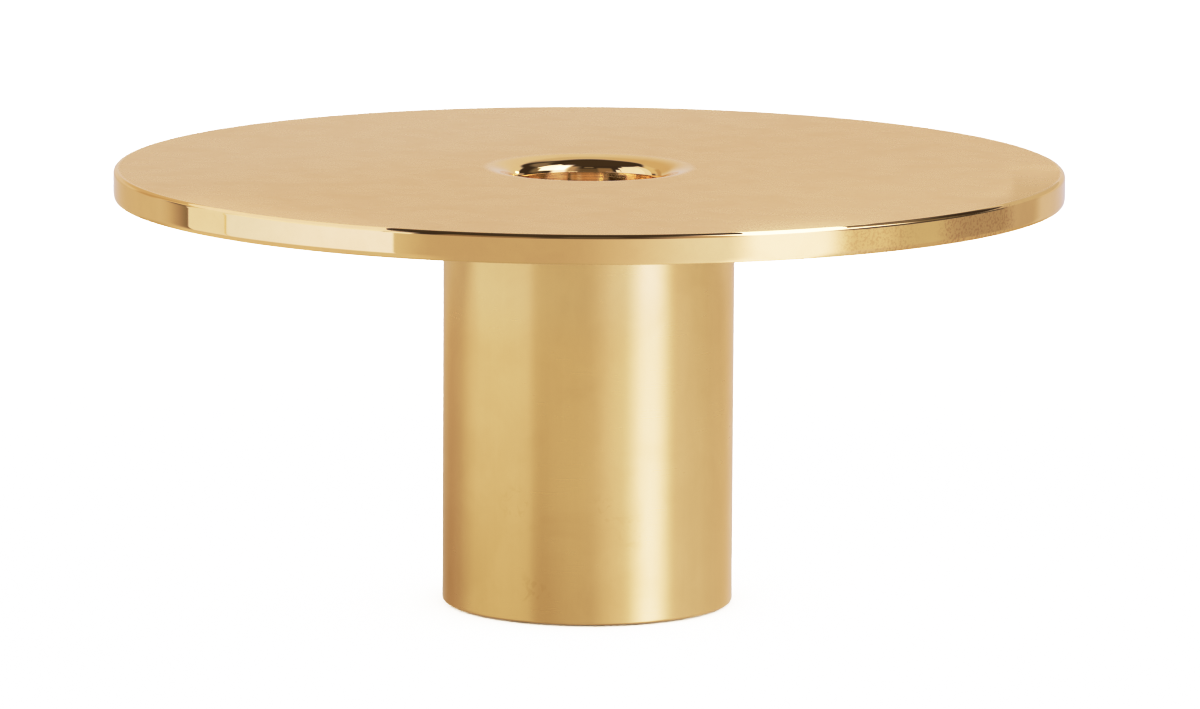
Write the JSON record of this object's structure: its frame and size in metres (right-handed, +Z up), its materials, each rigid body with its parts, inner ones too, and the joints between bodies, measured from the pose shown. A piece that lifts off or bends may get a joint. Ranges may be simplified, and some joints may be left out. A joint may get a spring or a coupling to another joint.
{
  "type": "pillar candle holder",
  "caption": "Low brass candle holder: a round plate for a pillar candle, with a bell-mouthed central socket for a taper, on a weighted cylindrical stem.",
  "frame": {"origin": "centre of the resting face, on the surface the holder stands on", "axes": "+Z up along the turned parts' common axis; the holder is round, so +X and +Y are free choices"},
  "size_m": [0.15, 0.15, 0.0695],
  "materials": {
    "top_plate": "satin faces, polished rims and bell mouth",
    "candle_cup": "polished bore, as-turned outside",
    "cup_screws": "zinc-plated",
    "stem_tube": "satin, brushed round the tube",
    "base_weight": "blackened casting, turned on its outside",
    "clamp_bolt": "black oxide",
    "washers": "zinc-plated",
    "felt_pad": "pressed wool felt"
  },
  "bodies": {
    "root": {"top_plate": "top_plate", "candle_cup": "candle_cup", "cup_screws": "cup_screws", "stem_tube": "stem_tube", "base_weight": "base_weight", "clamp_bolt": "clamp_bolt", "flat_washer": "washers", "spring_washer": "washers", "felt_pad": "felt_pad"}
  },
  "joints": []
}
